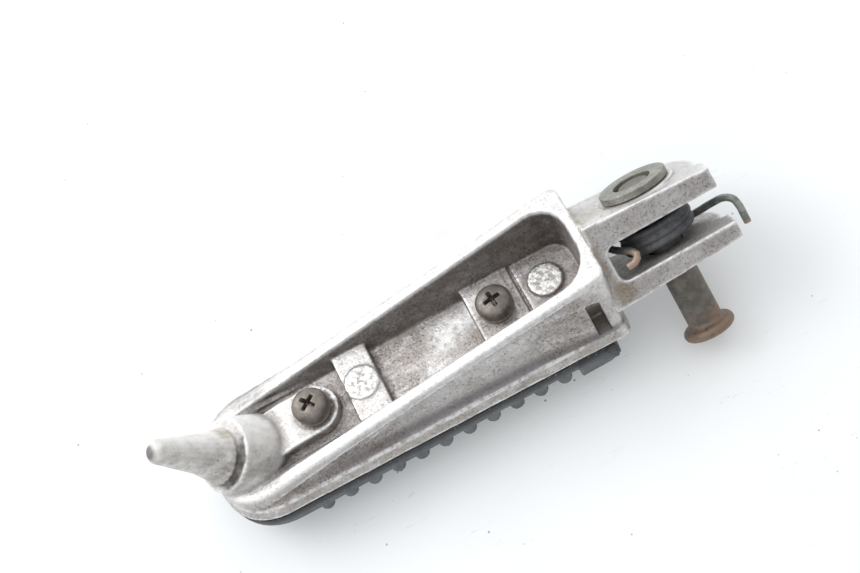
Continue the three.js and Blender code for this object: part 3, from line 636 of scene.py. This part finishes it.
# ---------------------------------------------------------------- hidden steel
NUTS_AND_WASHERS = [f"{kind}_{side}" for kind in ("weld_nut", "lock_washer") for side in ("outer", "inner")]
zinc_steel = dull_metal("zinc_steel", rgb(140, 136, 126), rgb(170, 166, 156), rgb(110, 84, 60))
for node in ("tread_backing_plate", *NUTS_AND_WASHERS):
    mesh = frame["nodes"][node].data
    mesh.materials.clear()
    mesh.materials.append(zinc_steel)


# ---------------------------------------------------------------- surface and light
def pale_sheet():
    """Off-white sheet with a few crumbs and hairline scratches."""
    g = Graph("pale_sheet")
    tone = g.mix(g.fit(g.noise(90, detail=2), 0.3, 0.7), rgb(216, 219, 220), rgb(222, 224, 225))
    dusty = g.fit(g.noise(30, shift=9), 0.45, 0.6)
    crumbs = g.fit(g.cells(7, shift=5), 0.02, 0.06, 1, 0)
    tone = g.mix(g.times(crumbs, dusty), tone, rgb(112, 108, 102))
    thread = g.noise(9, detail=2, distortion=1.5, shift=3, stretch=(0.15, 1, 1))
    hairs = g.times(g.fit(thread, 0.498, 0.5), g.fit(thread, 0.5, 0.502, 1, 0))
    tone = g.mix(g.times(hairs, g.times(dusty, 0.35)), tone, rgb(150, 148, 144))
    return g.finish(Base_Color=tone, Roughness=0.6, Emission_Color=tone, Emission_Strength=0.25)


def floor(reach):
    """A plain pale sheet under the peg, reach metres from its middle to each side."""
    mesh = bpy.data.meshes.new("floor")
    corners = [(-reach, -reach, 0), (reach, -reach, 0), (reach, reach, 0), (-reach, reach, 0)]
    mesh.from_pydata(corners, [], [(0, 1, 2, 3)])
    mesh.materials.append(pale_sheet())
    sheet = bpy.data.objects.new("floor", mesh)
    bpy.context.scene.collection.objects.link(sheet)


def key_light(where, target, size, power):
    """A square softbox at where, facing target."""
    light = bpy.data.lights.new("key", "AREA")
    light.shape = "RECTANGLE"
    light.size = light.size_y = size
    light.energy = power
    lamp = bpy.data.objects.new("key", light)
    lamp.location = where
    lamp.rotation_euler = (Vector(target) - Vector(where)).to_track_quat("-Z", "Y").to_euler()
    bpy.context.scene.collection.objects.link(lamp)


# the camera in the peg frame: its axes, where it stands in mm, and its lens in mm
CAMERA_RIGHT = Vector((0.87025545, -0.40596771, -0.27900838))
CAMERA_UP = Vector((0.49136354, 0.75552072, 0.43330164))
CAMERA_BACK = Vector((0.03489013, -0.51417766, 0.85697375))
CAMERA_PLACE_MM = Vector((-42.41, -274.85, 494.78))
CAMERA_LENS = 84.69


def camera():
    """Looks down into the trough from the near side, turned so that the peg runs up to the right."""
    data = bpy.data.cameras.new("camera")
    data.lens = CAMERA_LENS
    data.clip_start, data.clip_end = 0.02, 20
    eye = bpy.data.objects.new("camera", data)
    bpy.context.scene.collection.objects.link(eye)
    turn = Matrix((CAMERA_RIGHT, CAMERA_UP, CAMERA_BACK)).transposed().to_4x4()
    turn.translation = CAMERA_PLACE_MM * MM
    eye.matrix_world = PEG_TO_ROW @ turn
    bpy.context.scene.camera = eye


# the room is brightest towards this side, and its strength runs between these two
BRIGHT_SIDE = Vector((-0.25, 0.75, 0.55)).normalized()
ROOM_DIM, ROOM_BRIGHT = 0.58, 1.32
ROOM_COLOR = (0.98, 0.99, 1.0, 1.0)


def studio_world():
    """A pale room, brighter on the far side and overhead than on the near side."""
    world = bpy.data.worlds.new("world")
    bpy.context.scene.world = world
    world.use_nodes = True
    tree = world.node_tree
    tree.nodes.clear()
    where = tree.nodes.new("ShaderNodeTexCoord")
    share = tree.nodes.new("ShaderNodeVectorMath")
    share.operation = "DOT_PRODUCT"
    share.inputs[1].default_value = BRIGHT_SIDE
    tree.links.new(where.outputs["Generated"], share.inputs[0])
    fade = tree.nodes.new("ShaderNodeMapRange")
    fade.interpolation_type = "SMOOTHSTEP"
    limits = {"From Min": -0.1, "From Max": 0.85, "To Min": ROOM_DIM, "To Max": ROOM_BRIGHT}
    for key, value in limits.items():
        fade.inputs[key].default_value = value
    tree.links.new(share.outputs["Value"], fade.inputs["Value"])
    back = tree.nodes.new("ShaderNodeBackground")
    back.inputs["Color"].default_value = ROOM_COLOR
    tree.links.new(fade.outputs["Result"], back.inputs["Strength"])
    out = tree.nodes.new("ShaderNodeOutputWorld")
    tree.links.new(back.outputs["Background"], out.inputs["Surface"])


floor(reach=3.0)
camera()
studio_world()
key_light(where=(-0.75, 0.75, 0.95), target=(0, 0, 0.02), size=0.9, power=9)
bpy.context.scene.view_settings.view_transform = "Standard"
bpy.context.scene.view_settings.exposure = 0.0
